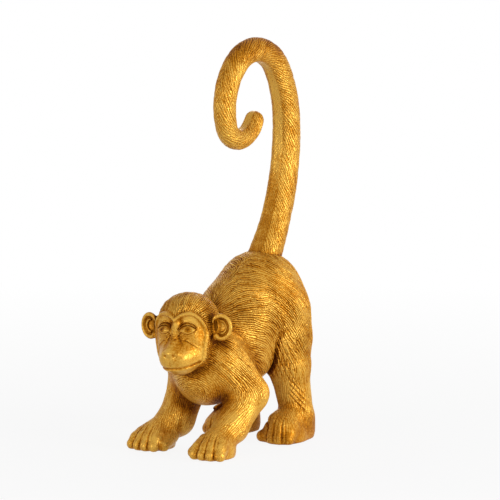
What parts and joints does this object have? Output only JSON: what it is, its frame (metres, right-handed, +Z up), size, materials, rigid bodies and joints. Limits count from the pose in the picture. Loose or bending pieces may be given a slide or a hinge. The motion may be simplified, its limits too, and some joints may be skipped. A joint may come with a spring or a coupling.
{
  "type": "monkey figurine",
  "caption": "Gold-painted cast resin monkey on all fours, rump high, with a tall tail that curls over at the top; stands on felt pads.",
  "frame": {"origin": "bottom centre of the box round the whole figurine, on the surface it stands on", "axes": "+Z up, the monkey looks along -Y, its left side is +X"},
  "size_m": [0.0942, 0.1632, 0.3163],
  "materials": {
    "gold_resin": "metallic gold paint with a brown wash in the grooves",
    "steel": "plain drawn steel",
    "felt": "pressed wool felt"
  },
  "bodies": {
    "root": {"trunk": "gold_resin", "belly_plug": "gold_resin", "head": "gold_resin", "left_arm": "gold_resin", "right_arm": "gold_resin", "left_leg": "gold_resin", "right_leg": "gold_resin", "tail": "gold_resin", "tail_rod": "steel", "neck_dowel": "steel", "left_shoulder_dowel": "steel", "right_shoulder_dowel": "steel", "left_hip_dowel": "steel", "right_hip_dowel": "steel", "left_palm_pad": "felt", "right_palm_pad": "felt", "left_sole_pad": "felt", "right_sole_pad": "felt"}
  },
  "joints": []
}
